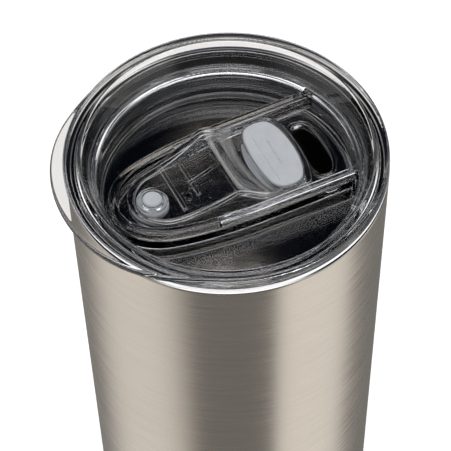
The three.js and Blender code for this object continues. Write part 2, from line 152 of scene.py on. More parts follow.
def lathe(name, rows, closed=True, segments=LATHE_SEGMENTS, base_z=0.0, axis_x=0.0, max_turn=12.0):
    """Turns a profile of (r, z, fillet radius) rows about a vertical axis.
    An open profile starts and ends on the axis."""
    area = 0.0
    for i, row in enumerate(rows):
        after = rows[(i + 1) % len(rows)]
        area += row[0] * after[1] - after[0] * row[1]
    if area < 0:
        rows = rows[::-1]
    points, point_normals = fillet(rows, closed, max_turn)
    angles = np.arange(segments) * 2 * math.pi / segments
    cos, sin = np.cos(angles), np.sin(angles)
    rings, verts, normals = [], [], []
    count = 0
    for (r, z), (out_r, out_z) in zip(points, point_normals):
        if r < 1e-6:
            verts.append(np.array([[axis_x, 0.0, z + base_z]]))
            normals.append(np.array([[0.0, 0.0, 1.0 if out_z > 0 else -1.0]]))
            rings.append(np.full(segments, count))
            count += 1
        else:
            height = np.full(segments, z + base_z)
            verts.append(np.stack([axis_x + r * cos, r * sin, height], 1))
            normals.append(np.stack([out_r * cos, out_r * sin, np.full(segments, out_z)], 1))
            rings.append(np.arange(count, count + segments))
            count += segments
    quads, tris = [], []
    for i in range(len(rings) if closed else len(rings) - 1):
        a, b = rings[i], rings[(i + 1) % len(rings)]
        a_next, b_next = np.roll(a, -1), np.roll(b, -1)
        if a[0] == a[-1]:
            tris.append(np.stack([a, b_next, b], 1))
        elif b[0] == b[-1]:
            tris.append(np.stack([a, a_next, b], 1))
        else:
            quads.append(np.stack([a, a_next, b_next, b], 1))
    faces = [np.concatenate(group) for group in (quads, tris) if group]
    return new_mesh(name, np.concatenate(verts), faces, np.concatenate(normals))


# ------------------------------------------------------------------ outlines
def catmull(points, per):
    """Open Catmull-Rom curve through the points, with per steps to each span."""
    knots = np.array(points, float)
    last = len(knots) - 1
    curve = []
    for i in range(last):
        p1, p2 = knots[i], knots[i + 1]
        p0 = knots[i - 1] if i > 0 else 2 * p1 - p2
        p3 = knots[i + 2] if i + 2 <= last else 2 * p2 - p1
        for k in range(per):
            t = k / per
            linear = (p2 - p0) * t
            square = (2 * p0 - 5 * p1 + 4 * p2 - p3) * t * t
            cubic = (3 * p1 - p0 - 3 * p2 + p3) * t**3
            curve.append(0.5 * (2 * p1 + linear + square + cubic))
    curve.append(knots[-1])
    return np.array(curve)


def mirrored(half):
    """Closes a +Y half outline with its mirror image across the X axis."""
    half = np.array(half, float)
    low = half[half[:, 1] > 1e-6] * [1, -1]
    return np.concatenate([half, low[::-1]])


def polygon_distance(polygon, X, Y):
    nearest = np.full(X.shape, 1e12, np.float32)
    inside = np.zeros(X.shape, bool)
    X = X.astype(np.float32)
    Y = Y.astype(np.float32)
    for i in range(len(polygon)):
        ax, ay = polygon[i]
        bx, by = polygon[(i + 1) % len(polygon)]
        ex, ey = bx - ax, by - ay
        length2 = ex * ex + ey * ey
        if length2 < 1e-14:
            continue
        wx, wy = X - np.float32(ax), Y - np.float32(ay)
        t = np.clip((wx * ex + wy * ey) / length2, 0, 1).astype(np.float32)
        dx, dy = wx - t * ex, wy - t * ey
        np.minimum(nearest, dx * dx + dy * dy, out=nearest)
        if ay != by:
            spans = (ay > Y) != (by > Y)
            inside ^= spans & (X < ex * (Y - ay) / (by - ay) + ax)
    return np.where(inside, -1.0, 1.0).astype(np.float32) * np.sqrt(nearest)


class DistanceTable:
    """A polygon's signed distance on a grid of the given step, softened by a Gaussian blur
    (both mm) and read with linear interpolation."""

    def __init__(self, polygon, low, high, step, blur):
        self.low, self.step = low, step
        xs = np.arange(low[0], high[0] + step, step)
        ys = np.arange(low[1], high[1] + step, step)
        X, Y = np.meshgrid(xs, ys, indexing="ij")
        values = polygon_distance(np.asarray(polygon, float), X, Y)
        sigma = blur / step
        reach = int(math.ceil(3 * sigma))
        kernel = np.exp(-0.5 * (np.arange(-reach, reach + 1) / sigma) ** 2)
        kernel /= kernel.sum()
        for axis in (0, 1):
            margins = [(0, 0), (0, 0)]
            margins[axis] = (reach, reach)
            padded = np.pad(values, margins, mode="edge")
            blurred = np.zeros_like(values)
            for j, weight in enumerate(kernel):
                window = [slice(None), slice(None)]
                window[axis] = slice(j, j + values.shape[axis])
                blurred += np.float32(weight) * padded[tuple(window)]
            values = blurred
        self.values = values

    def __call__(self, u, v):
        rows, columns = self.values.shape
        a = np.clip((u - self.low[0]) / self.step, 0, rows - 1.001)
        b = np.clip((v - self.low[1]) / self.step, 0, columns - 1.001)
        i, j = a.astype(np.int32), b.astype(np.int32)
        fa, fb = a - i, b - j
        flat = self.values.ravel()
        base = i * columns + j
        near = flat[base] * (1 - fb) + flat[base + 1] * fb
        far = flat[base + columns] * (1 - fb) + flat[base + columns + 1] * fb
        return near * (1 - fa) + far * fa


# ------------------------------------------------------------------ signed distances
def soft_min(a, b, blend):
    overlap = np.maximum(blend - np.abs(a - b), 0.0) / np.maximum(blend, 1e-9)
    return np.minimum(a, b) - overlap * overlap * blend * 0.25


def soft_max(a, b, blend):
    overlap = np.maximum(blend - np.abs(a - b), 0.0) / np.maximum(blend, 1e-9)
    return np.maximum(a, b) + overlap * overlap * blend * 0.25


def band(value, centre, half):
    return np.abs(value - centre) - half


def soft_box(x, y, z, low, high, blend):
    dx = np.maximum(low[0] - x, x - high[0])
    dy = np.maximum(low[1] - y, y - high[1])
    dz = np.maximum(low[2] - z, z - high[2])
    return soft_max(soft_max(dx, dy, blend), dz, blend)


def smooth_step(start, end, value):
    u = np.clip((value - start) / (end - start), 0, 1)
    return u * u * (3 - 2 * u)


def evaluate(field, points, chunk=400000):
    out = np.empty(len(points), np.float64)
    for i in range(0, len(points), chunk):
        part = points[i : i + chunk]
        out[i : i + chunk] = field(part[:, 0], part[:, 1], part[:, 2])
    return out


def gradient(field, points, reach):
    slopes = np.empty_like(points)
    for axis in range(3):
        shift = np.zeros(3)
        shift[axis] = reach
        rise = evaluate(field, points + shift) - evaluate(field, points - shift)
        slopes[:, axis] = rise / (2 * reach)
    return slopes


# ------------------------------------------------------------------ moulded pieces, surface nets
BLOCK = 4  # cells along a block's edge in the coarse pass
CUBE = list(itertools.product((0, 1), repeat=3))  # a cell's corners


def sample_grid(field, low, high, cell):
    """Field values at the grid points: exact near the surface, coarse elsewhere."""
    blocks = np.ceil((high - low) / (cell * BLOCK)).astype(int)
    centres = low + (np.indices(blocks).reshape(3, -1).T + 0.5) * (BLOCK * cell)
    coarse = evaluate(field, centres)
    near = np.abs(coarse) < 0.5 * BLOCK * cell * math.sqrt(3) * 1.3 + cell
    values = coarse.reshape(blocks).astype(np.float32)
    for axis in range(3):
        values = np.repeat(values, BLOCK, axis)
    values = np.pad(values, ((0, 1), (0, 1), (0, 1)), mode="edge")
    firsts = np.argwhere(near.reshape(blocks)) * BLOCK
    offsets = np.indices((BLOCK + 1,) * 3).reshape(3, -1).T
    for i in range(0, len(firsts), 4000):
        q = (firsts[i : i + 4000, None, :] + offsets[None]).reshape(-1, 3)
        values[q[:, 0], q[:, 1], q[:, 2]] = evaluate(field, low + q * cell)
    return values


def net_vertices(values, inside):
    """One vertex per cell the surface crosses, in cells, and each cell's vertex index."""
    size = inside.shape
    count = np.zeros([n - 1 for n in size], np.uint8)
    for corner in CUBE:
        count += inside[tuple(slice(c, n - 1 + c) for c, n in zip(corner, size))]
    active = (count > 0) & (count < 8)
    cells = np.argwhere(active)
    index = np.full(active.shape, -1, np.int32)
    index[active] = np.arange(len(cells), dtype=np.int32)
    at_corner = {c: values[tuple((cells + c).T)].astype(float) for c in CUBE}
    total = np.zeros((len(cells), 3))
    crossings = np.zeros(len(cells))
    for start in CUBE:
        for axis in range(3):
            if start[axis] == 1:
                continue
            end = list(start)
            end[axis] = 1
            value_a, value_b = at_corner[start], at_corner[tuple(end)]
            cross = (value_a < 0) != (value_b < 0)
            t = np.where(cross, value_a / np.where(cross, value_a - value_b, 1.0), 0)
            for q in range(3):
                total[:, q] += np.where(cross, start[q] + (t if q == axis else 0), 0)
            crossings += cross
    return cells + total / crossings[:, None], index


def net_quads(inside, index):
    """One face round every grid edge the surface crosses."""
    groups = []
    for axis in range(3):
        u, w = (axis + 1) % 3, (axis + 2) % 3
        lower = [slice(None)] * 3
        upper = [slice(None)] * 3
        lower[axis], upper[axis] = slice(0, -1), slice(1, None)
        for q in (u, w):
            lower[q] = upper[q] = slice(1, -1)
        edges = np.argwhere(inside[tuple(lower)] != inside[tuple(upper)])
        edges[:, u] += 1
        edges[:, w] += 1
        step_u = np.zeros(3, int)
        step_w = np.zeros(3, int)
        step_u[u], step_w[w] = 1, 1
        back = (step_u + step_w, step_w, step_u * 0, step_u)
        quads = np.stack([index[tuple((edges - step).T)] for step in back], 1)
        flip = ~inside[tuple(edges.T)]
        quads[flip] = quads[flip][:, ::-1]
        groups.append(quads)
    quads = np.concatenate(groups)
    return quads[(quads >= 0).all(1)]


def solid_from(name, field, low, high, cell):
    """Meshes field < 0 on a grid of the given cell, slides every vertex onto the surface and
    lifts the piece from lid heights to its place."""
    # off any round number, so that no grid point lies exactly on the surface
    low = np.array(low, float) - 2 * cell - np.array((0.0371, 0.0293, 0.0417)) * cell
    high = np.array(high, float) + 2 * cell
    values = sample_grid(field, low, high, cell)
    inside = values < 0
    verts, index = net_vertices(values, inside)
    verts = low + verts * cell
    quads = net_quads(inside, index)
    for _ in range(3):
        distance = evaluate(field, verts)
        slope = gradient(field, verts, 0.05)
        steepness = (slope * slope).sum(1)
        move = slope * (distance / np.maximum(steepness, 0.2))[:, None]
        length = np.linalg.norm(move, axis=1)
        move *= np.minimum(1.0, 0.6 * cell / np.maximum(length, 1e-9))[:, None]
        verts = verts - move
    normals = gradient(field, verts, 0.07)
    normals /= np.maximum(np.linalg.norm(normals, axis=1), 1e-9)[:, None]
    return new_mesh(name, verts + [0, 0, LID_Z], [quads], normals)


# ------------------------------------------------------------------ shader nodes
class Nodes:
    """Builds the node tree of a material or world. Inputs take values, sockets or nodes;
    a node stands for its first output."""

    def __init__(self, owner):
        owner.use_nodes = True
        self.tree = owner.node_tree
        self.tree.nodes.clear()

    def add(self, kind, *ordered, settings=None, **named):
        """Inputs are given in order or by name, with _ for a space."""
        node = self.tree.nodes.new("ShaderNode" + kind)
        for key, value in (settings or {}).items():
            setattr(node, key, value)
        for i, value in enumerate(ordered):
            self.fill(node.inputs[i], value)
        for key, value in named.items():
            self.fill(node.inputs[key.replace("_", " ")], value)
        return node

    def fill(self, socket, value):
        if isinstance(value, bpy.types.Node):
            value = value.outputs[0]
        if isinstance(value, bpy.types.NodeSocket):
            self.tree.links.new(value, socket)
        else:
            socket.default_value = value

    def math(self, operation, *values):
        return self.add("Math", *values, settings={"operation": operation})

    def weighted(self, a, weight_a, b, weight_b):
        first = self.math("MULTIPLY", a, weight_a)
        return self.math("ADD", first, self.math("MULTIPLY", b, weight_b))

    def unit_xy(self, x, y, least):
        """Length of (x, y), no shorter than least, and x and y divided by it."""
        length = self.math("SQRT", self.weighted(x, x, y, y))
        length = self.math("MAXIMUM", length, least)
        return length, self.math("DIVIDE", x, length), self.math("DIVIDE", y, length)

    def map_range(self, value, source, target, kind="SMOOTHSTEP"):
        return self.add("MapRange", value, *source, *target, settings={"interpolation_type": kind})

    def noise(self, vector, **inputs):
        return self.add("TexNoise", Vector=vector, **inputs)

    def shades(self, factor, color, low, high):
        """Mixes from color * low to color * high."""
        mix = self.add("Mix", factor, settings={"data_type": "RGBA"})
        mix.inputs[6].default_value = (*[c * low for c in color], 1)
        mix.inputs[7].default_value = (*[min(1, c * high) for c in color], 1)
        return mix.outputs[2]

    def bump(self, height, strength, distance):
        return self.add("Bump", Height=height, Strength=strength, Distance=distance)


def new_material(name):
    made = bpy.data.materials.new(name)
    return made, Nodes(made)


# ------------------------------------------------------------------ materials
def brushed_steel(
    name, color, rough, across=3600.0, bump=0.25, radial=False, aniso=0.85, tint=0.05
):
    """Steel brushed in circles about Z: streaks long round the axis and fine across it.
    across: streak frequency along z, or along the radius if radial. tint: tone spread."""
    made, nodes = new_material(name)
    place = nodes.add("TexCoord").outputs["Object"]
    x, y, z = nodes.add("SeparateXYZ", place).outputs
    radius, unit_x, unit_y = nodes.unit_xy(x, y, least=0.0005)

    def streaks(round_scale, across_scale, detail):
        vector = nodes.add(
            "CombineXYZ",
            nodes.math("MULTIPLY", unit_x, round_scale),
            nodes.math("MULTIPLY", unit_y, round_scale),
            nodes.math("MULTIPLY", radius if radial else z, across_scale),
        )
        return nodes.noise(vector, Scale=1.0, Detail=detail, Roughness=0.6)

    fine = streaks(round_scale=3.0, across_scale=across, detail=2.0)
    broad = streaks(round_scale=1.6, across_scale=across * 0.22, detail=3.0)
    cloud = nodes.noise(place, Scale=28.0, Detail=4.0)
    mixed = nodes.weighted(fine, 0.6, broad, 0.4)
    streak_rough = nodes.map_range(
        mixed, source=(0.3, 0.7), target=(rough - 0.05, rough + 0.06), kind="LINEAR"
    )
    cloud_rough = nodes.math("MULTIPLY", nodes.math("SUBTRACT", cloud, 0.5), 0.06)
    tone = nodes.map_range(mixed, source=(0.36, 0.64), target=(0.0, 1.0), kind="LINEAR")
    round_axis = {"direction_type": "RADIAL", "axis": "Z"}
    steel = nodes.add(
        "BsdfPrincipled",
        Base_Color=nodes.shades(tone, color, low=1 - tint, high=1 + tint),
        Roughness=nodes.math("ADD", streak_rough, cloud_rough),
        Metallic=1.0,
        Anisotropic=aniso,
        Anisotropic_Rotation=0.25,
        Tangent=nodes.add("Tangent", settings=round_axis),
        Normal=nodes.bump(mixed, strength=bump, distance=0.00002),
    )
    nodes.add("OutputMaterial", steel)
    return made


def clear_plastic(name, tint=(0.985, 0.988, 0.992), ior=1.55, milk=0.0):
    """Clear polished moulding: traced Fresnel reflection and refraction.
    Light on its way to other pieces passes straight through."""
    made, nodes = new_material(name)
    place = nodes.add("TexCoord").outputs["Object"]
    haze = nodes.noise(place, Scale=90.0, Detail=3.0)
    dust = nodes.noise(place, Scale=2300.0, Detail=1.0)
    tones = [nodes.map_range(haze, source=(0.3, 0.7), target=(t, t * 0.985)) for t in tint]
    color = nodes.add("CombineColor", *tones)
    glass = nodes.add("BsdfGlass", IOR=ior, Roughness=0.0, Color=color)
    # sparse dust specks, over whatever milkiness the moulding has
    white = nodes.add("BsdfDiffuse", Color=(0.8, 0.82, 0.84, 1))
    specks = nodes.map_range(dust, source=(0.765, 0.82), target=(0.0, 0.35))
    cloudy = nodes.map_range(haze, source=(0.3, 0.7), target=(milk * 0.7, milk * 1.3))
    body = nodes.add("MixShader", nodes.math("MAXIMUM", specks, cloudy), glass, white)
    # rays spread by a rough surface are already counted by its direct light, so they pass
    # straight through as well
    ray = nodes.add("LightPath").outputs
    not_singular = nodes.math("SUBTRACT", 1.0, ray["Is Singular Ray"])
    spread = nodes.math("MULTIPLY", ray["Is Glossy Ray"], not_singular)
    lighting = nodes.math("MAXIMUM", ray["Is Shadow Ray"], ray["Is Diffuse Ray"])
    through = nodes.math("MAXIMUM", lighting, spread)
    clear = nodes.add("BsdfTransparent", Color=(*[0.88 * t for t in tint], 1))
    nodes.add("OutputMaterial", nodes.add("MixShader", through, body, clear))
    return made


def silicone(name, color, rough):
    """Milky silicone: soft sheen, light scatter inside, faint mottling and fine grain."""
    made, nodes = new_material(name)
    place = nodes.add("TexCoord").outputs["Object"]
    mottle = nodes.noise(place, Scale=260.0, Detail=5.0)
    grain = nodes.noise(place, Scale=2600.0)
    tone = nodes.map_range(mottle, source=(0.35, 0.65), target=(0, 1))
    rubber = nodes.add(
        "BsdfPrincipled",
        Base_Color=nodes.shades(tone, color, low=0.97, high=1.02),
        Roughness=nodes.map_range(mottle, source=(0.3, 0.7), target=(rough - 0.06, rough + 0.08)),
        Normal=nodes.bump(grain, strength=0.12, distance=0.00008),
        IOR=1.41,
        Transmission_Weight=0.0,
        Sheen_Weight=0.15,
        Subsurface_Weight=0.2,
        Subsurface_Radius=(1.0, 1.0, 1.05),
        Subsurface_Scale=0.0015,
    )
    nodes.add("OutputMaterial", rubber)
    return made


def grainy(name, color, rough, metallic, grain, bump):
    """Mottled surface, metal or not; grain is the noise scale."""
    made, nodes = new_material(name)
    place = nodes.add("TexCoord").outputs["Object"]
    mottle = nodes.noise(place, Scale=grain, Detail=5.0)
    surface = nodes.add(
        "BsdfPrincipled",
        Base_Color=nodes.shades(mottle, color, low=0.7, high=1.25),
        Roughness=nodes.map_range(mottle, source=(0.3, 0.7), target=(rough - 0.08, rough + 0.08)),
        Metallic=metallic,
        Normal=nodes.bump(mottle, strength=bump, distance=0.0001),
    )
    nodes.add("OutputMaterial", surface)
    return made


SHELL = brushed_steel(
    "shell_brushed_steel", color=(0.62, 0.565, 0.495), rough=0.235, aniso=0.8, tint=0.08
)
LINER = brushed_steel(
    "liner_polished_steel", color=(0.56, 0.54, 0.51), rough=0.11,
    across=2400.0, bump=0.03, aniso=0.5, tint=0.02,
)
BASE = brushed_steel(
    "base_turned_steel", color=(0.60, 0.57, 0.53), rough=0.32, across=3000.0, radial=True
)
PAN = brushed_steel(
    "pan_pressed_steel", color=(0.58, 0.56, 0.53), rough=0.45,
    across=900.0, bump=0.2, radial=True, aniso=0.4,
)
CLEAR = clear_plastic("lid_clear_plastic")
CLEAR_SLIDER = clear_plastic("slider_clear_plastic", tint=(0.975, 0.978, 0.98))
GASKET = clear_plastic("gasket_clear_silicone", tint=(0.95, 0.955, 0.96), ior=1.41, milk=0.04)
SEAL = silicone("seal_milky_silicone", color=(0.74, 0.77, 0.785), rough=0.45)
GETTER = grainy(
    "getter_pressed_powder", color=(0.12, 0.12, 0.125), rough=0.8,
    metallic=0.4, grain=1500.0, bump=0.3,
)
CLIP = grainy(
    "clip_rolled_strip", color=(0.5, 0.49, 0.47), rough=0.35,
    metallic=1.0, grain=700.0, bump=0.1,
)
GLASS = grainy(
    "solder_glass_bead", color=(0.03, 0.035, 0.04), rough=0.15,
    metallic=0.0, grain=400.0, bump=0.03,
)


def finish_piece(piece, look, body, cad):
    piece.data.materials.clear()
    piece.data.materials.append(look)
    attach(piece, body)
    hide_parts(cad)


# ------------------------------------------------------------------ steel cup
# Profiles: radius, height, fillet radius
def shell_in(z):
    return outer_r(z) - STEEL


SHELL_TOP = RIM_Z - LIP_H - 0.15
shell_profile = [
    (33.2, 0, 0.8), (34.6, 0.45, 1.6), (35.6, 1.7, 2.4),
    (outer_r(4.2), 4.2, 4.0), (outer_r(60), 60, 0), (outer_r(120), 120, 0),
    (outer_r(SHELL_TOP), SHELL_TOP, 0.15), (shell_in(SHELL_TOP), SHELL_TOP, 0.15),
    (shell_in(120), 120, 0), (shell_in(60), 60, 0), (shell_in(4.8), 4.8, 3.0),
    # the rolled foot
    (34.9, 2.1, 1.6), (34.1, 1.2, 1.0), (33.2, STEEL, 0.8), (31.75, STEEL, 0.1),
    (31.7, 2.6, 0.1), (30.9, 2.6, 0.1), (30.9, 0.3, 0.2), (31.2, 0, 0.2),
]
shell = lathe("shell", shell_profile, max_turn=6)
finish_piece(shell, SHELL, "mug", "outer_shell")


def liner_out(z):
    return shell_in(z) - VACUUM_GAP


def neck_out(z):
    return shell_in(z) - NECK_GAP


FLOOR_Z = 9.0  # underside of the liner's floor
liner_profile = [
    # outer face, upwards
    (0, FLOOR_Z, 0), (27.0, FLOOR_Z, 5), (31.9, 11.2, 5),
    (liner_out(17), 17, 6), (liner_out(90), 90, 0), (liner_out(150.5), 150.5, 6),
    (neck_out(157), 157, 6), (neck_out(RIM_Z - LIP_H), RIM_Z - LIP_H, 0.05),
    # rolled lip
    (RIM_R - 0.02, RIM_Z - LIP_H, 0.12), (RIM_R, RIM_Z - 0.34, 0.3),
    (RIM_R - 0.55, RIM_Z - 0.05, 0.6), (RIM_R - 0.95, RIM_Z, 0.8),
    (RIM_R - 1.4, RIM_Z - 0.07, 0.6),
    # inner face, downwards
    (neck_out(RIM_Z) - STEEL, RIM_Z - 0.5, 0.5), (neck_out(156.8) - STEEL, 156.8, 6),
    (liner_out(150.1) - STEEL, 150.1, 6), (liner_out(90) - STEEL, 90, 0),
    (liner_out(17) - STEEL, 17.4, 6), (31.3, 12.2, 5),
    (26.8, FLOOR_Z + STEEL, 5), (0, FLOOR_Z + STEEL, 0),
]
liner = lathe("liner", liner_profile, closed=False, max_turn=6)
finish_piece(liner, LINER, "mug", "inner_liner")

PAN_TOP, PAN_FLAT, PAN_EDGE = 4.5, 2.7, 2.2  # upper face: middle, flat and outer edge
pan_profile = [
    (0.9, PAN_TOP, 0.1), (4.6, PAN_TOP, 0.9), (6.2, PAN_FLAT, 0.9), (28.6, PAN_FLAT, 0.8),
    (30.6, PAN_EDGE, 0.15), (30.6, PAN_EDGE - STEEL, 0.15),
    (28.5, PAN_FLAT - STEEL, 0.8), (5.9, PAN_FLAT - STEEL, 0.9),
    (4.3, PAN_TOP - STEEL, 0.9), (0.9, PAN_TOP - STEEL, 0.1),
]
finish_piece(lathe("pan", pan_profile), PAN, "mug", "bottom_pan")

base_profile = [
    (0, 0, 0), (29.3, 0, 0.25), (30.2, 0.15, 0.4), (30.6, 0.6, 0.3),
    (30.6, 1.1, 0.12), (29.6, 1.1, 0.15), (29.0, STEEL, 0.3), (0, STEEL, 0),
]
base_disc = lathe("base_disc", base_profile, closed=False)
finish_piece(base_disc, BASE, "mug", "base_plate")

bead_profile = [
    (0, 1.95, 0), (1.6, 2.0, 1.0), (2.8, 2.5, 0.7), (2.7, 3.5, 0.3),
    (0.72, 3.5, 0.15), (0.72, 4.4, 0.3), (0, 4.5, 0),
]
bead = lathe("port_bead", bead_profile, closed=False, segments=64)
finish_piece(bead, GLASS, "mug", "seal_bead")

GETTER_R, GETTER_LOW, GETTER_HIGH = 4.0, 3.0, 5.4
getter_profile = [
    (0, GETTER_LOW, 0), (GETTER_R, GETTER_LOW, 0.35),
    (GETTER_R, GETTER_HIGH, 0.35), (0, GETTER_HIGH, 0),
]
getter_x = cad_middle_x("getter_pellet")
getter = lathe("getter", getter_profile, closed=False, segments=64, axis_x=getter_x)
finish_piece(getter, GETTER, "mug", "getter_pellet")

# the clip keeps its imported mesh, with rounded edges
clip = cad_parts["getter_clip"]
clip.data.materials.clear()
clip.data.materials.append(CLIP)
edge_round = clip.modifiers.new("edge_round", "BEVEL")
edge_round.width = 0.00012
edge_round.segments = 3
edge_round.limit_method = "ANGLE"

# ------------------------------------------------------------------ lid
# Section of deck, wall, flange and skirt: radius, lid height
ring_section = [
    (-3, DECK_Z), (34.4, DECK_Z), (35.2, DECK_Z + 0.22), (35.7, DECK_Z + 0.8),
    (35.88, DECK_Z + 1.8), (35.95, -7.3), (36.25, -6.7), (37.2, -5.2), (38.4, -3.3),
    (39.6, -1.4), (40.25, -0.35), (40.75, 0), (43.7, 0), (44.3, -0.3),
    (RIM_R, -0.95), (RIM_R, -4.55), (44.2, -5.0), (43.35, -5.0), (41.9, -5.0),
    (41.6, -5.6), (40.9, -6.0), (39.5, -7.6), (39.2, -9.6), (37.7, -9.6), (37.7, -15.0),
    (39.0, -15.0), (38.9, -16.4), (38.2, -19.0), (37.6, SKIRT_Z), (36.2, SKIRT_Z),
    (35.7, -18.0), (34.2, DECK_Z - DECK_THICK), (-3, DECK_Z - DECK_THICK),
]
ring_table = DistanceTable(ring_section, (-1, -23), (54, 4), step=0.05, blur=0.13)

TAB_REACH, TAB_ROOT_R, TAB_HALF_THICK = 4.8, 42.9, 1.05
# Thumb tab: degrees either side of -X, share of the full reach beyond the rim
TAB_SHARES = np.array([
    (0, 1.0), (10, 0.985), (20, 0.9), (30, 0.72), (37, 0.53),
    (43, 0.34), (50, 0.12), (56, 0.02), (62, -0.06), (75, -0.35),
])


def from_minus_x(radius, degrees):
    angle = math.pi + math.radians(degrees)
    return radius * math.cos(angle), radius * math.sin(angle)


def tab_outline():
    degrees = np.arange(-75, 75.01, 1.5)
    shares = np.interp(np.abs(degrees), TAB_SHARES[:, 0], TAB_SHARES[:, 1])
    for _ in range(6):
        padded = np.pad(shares, 2, mode="edge")
        shares = np.convolve(padded, [0.1, 0.2, 0.4, 0.2, 0.1], "valid")
    edge = [from_minus_x(RIM_R + TAB_REACH * s, d) for d, s in zip(degrees, shares)]
    return edge + [from_minus_x(TAB_ROOT_R, d) for d in np.arange(75, -75.01, -3)]


tab_table = DistanceTable(tab_outline(), (-52, -46), (-6, 46), step=0.1, blur=0.12)


def rail_table(curve, end_x):
    """A +Y half curve from the -X end, run straight on to end_x."""
    half = np.concatenate([catmull(curve, 8), [(end_x, curve[-1][1])]])
    return DistanceTable(mirrored(half), (-48, -48), (48, 48), step=0.12, blur=0.15)


# Rail outlines in plan: x, y
rail_outer = rail_table(
    [
        (-34.9, 0), (-34.2, 4.2), (-32.2, 7.9), (-28.9, 11.0),
        (-24.2, 13.2), (-17.5, 14.7), (-9.0, 15.8), (0, 16.4),
    ],
    end_x=40.0,
)
rail_inner = rail_table(
    [
        (-32.7, 0), (-31.9, 3.6), (-29.9, 6.6), (-27.0, 9.1),
        (-22.8, 11.1), (-16.6, 12.6), (-8.8, 13.7), (0, 14.3),
    ],
    end_x=41.0,
)

SLOT_X, SLOT_HALF_X, SLOT_HALF_Y = 26.4, 3.3, 9.6
SLOT_POWER = 0.72  # below 1 squares the oval up
SLOT_BOW = 110  # the ends bend towards -X by y squared over this


def slot_outline():
    outline = []
    for i in range(96):
        angle = i / 96 * 2 * math.pi
        cos, sin = math.cos(angle), math.sin(angle)
        y = SLOT_HALF_Y * math.copysign(abs(sin) ** SLOT_POWER, sin)
        x = SLOT_HALF_X * math.copysign(abs(cos) ** SLOT_POWER, cos) - y * y / SLOT_BOW
        outline.append((SLOT_X + x, y))
    return outline


slot_table = DistanceTable(slot_outline(), (10, -22), (42, 22), step=0.08, blur=0.12)

RAIL_DRAFT = 1.35  # how far the rail platform's sides spread down to the deck
RAIL_BOTTOM, RAIL_MAX_R = -16.6, 36.6
POCKET_MAX_R, HOLLOW_MAX_R, RAIL_WALL = 35.55, 34.0, 2.0
# Runner groove on the +Y side; the other mirrors it
GROOVE_LOW, GROOVE_HIGH = (-9.5, 13.0, -10.1), (31.5, 15.35, -8.2)
SLOT_LIP_WIDTH, SLOT_LIP_RISE, SLOT_LIP_BOTTOM = 1.15, 0.3, -13.0


def lid_field(x, y, z):
    r = np.sqrt(x * x + y * y)
    ring = ring_table(r, z)
    # thumb tab: a plate flush with the flange's top face, blended in only below it
    plate = soft_max(tab_table(x, y), band(z, -TAB_HALF_THICK, TAB_HALF_THICK), 0.9)
    d = soft_min(ring, plate, 0.9 * smooth_step(-1.0, -1.9, z) + 1e-6)
    # rail platform with drafted sides
    depth = np.clip((RAIL_TOP - z) / (RAIL_TOP - DECK_Z), 0, 1.3)
    sides = rail_outer(x, y) - RAIL_DRAFT * depth**1.3
    rail = soft_max(sides, z - RAIL_TOP, 0.55)
    rail = np.maximum(rail, RAIL_BOTTOM - z)
    rail = soft_max(rail, r - RAIL_MAX_R, 0.2)
    d = soft_min(d, rail, 0.9)
    # track pocket
    pocket = soft_max(rail_inner(x, y), TRACK_FLOOR - z, 0.9)
    pocket = soft_max(pocket, r - POCKET_MAX_R, 1.2)
    d = soft_max(d, -pocket, 0.5)
    # hollow under the track
    hollow = soft_max(sides + RAIL_WALL, z - (TRACK_FLOOR - TRACK_THICK), 1.2)
    hollow = soft_max(hollow, r - HOLLOW_MAX_R, 1.2)
    d = soft_max(d, -hollow, 0.5)
    # runner grooves
    groove = soft_box(x, np.abs(y), z, GROOVE_LOW, GROOVE_HIGH, 0.25)
    d = soft_max(d, -groove, 0.25)
    # drinking slot with a raised rounded lip
    slot = slot_table(x, y)
    lip = soft_max(slot - SLOT_LIP_WIDTH, z - (TRACK_FLOOR + SLOT_LIP_RISE), 0.5)
    lip = soft_max(lip, SLOT_LIP_BOTTOM - z, 0.1)
    d = soft_min(d, lip, 0.35)
    d = soft_max(d, -slot, 0.45)
    # vent hole, cut from well below the deck
    vent = np.sqrt((x - VENT_X) ** 2 + y * y) - VENT_R
    vent = np.maximum(vent, (DECK_Z - 6) - z)
    return soft_max(d, -vent, 0.3)


lid = solid_from("lid", lid_field, (-50, -45, -20), (45, 45, 0.5), LID_CELL)
finish_piece(lid, CLEAR, "lid", "lid_body")

# Gasket with two fins: radius, lid height, fillet radius
gasket_profile = [
    (38.05, -9.9, 0.25), (39.3, -9.9, 0.3), (39.9, -10.5, 0.5), (41.2, -10.0, 0.25),
    (41.5, -10.45, 0.2), (40.3, -11.5, 0.5), (39.9, -12.2, 0.5), (40.3, -12.9, 0.4),
    (41.2, -12.55, 0.25), (41.45, -13.1, 0.2), (40.1, -14.1, 0.5), (39.3, -14.7, 0.3),
    (38.05, -14.7, 0.25),
]
gasket = lathe("gasket", gasket_profile, base_z=LID_Z)
finish_piece(gasket, GASKET, "gasket", "lid_gasket")

# ------------------------------------------------------------------ slider
SLIDER_HALF_Y = 13.9
# Plan, +Y half, from the -X end: x, y
slider_back = [
    (-29.6, 0), (-28.9, 3.6), (-26.6, 7.0), (-22.8, 9.7), (-17.0, 11.0),
    (-9.0, 12.1), (-3.0, 13.0), (1.5, 13.6), (6.0, SLIDER_HALF_Y),
]
slider_front = [(17.6, SLIDER_HALF_Y), (19.5, 12.7), (20.9, 8.6), (21.6, 4.2), (21.8, 0)]
slider_half = [catmull(slider_back, 7), [(12, SLIDER_HALF_Y)], catmull(slider_front, 7)]
slider_table = DistanceTable(
    mirrored(np.concatenate(slider_half)), (-36, -20), (28, 20), step=0.06, blur=0.1
)


def pad_outline_table(half):
    return DistanceTable(mirrored(catmull(half, 7)), (0, -18), (26, 18), step=0.06, blur=0.08)


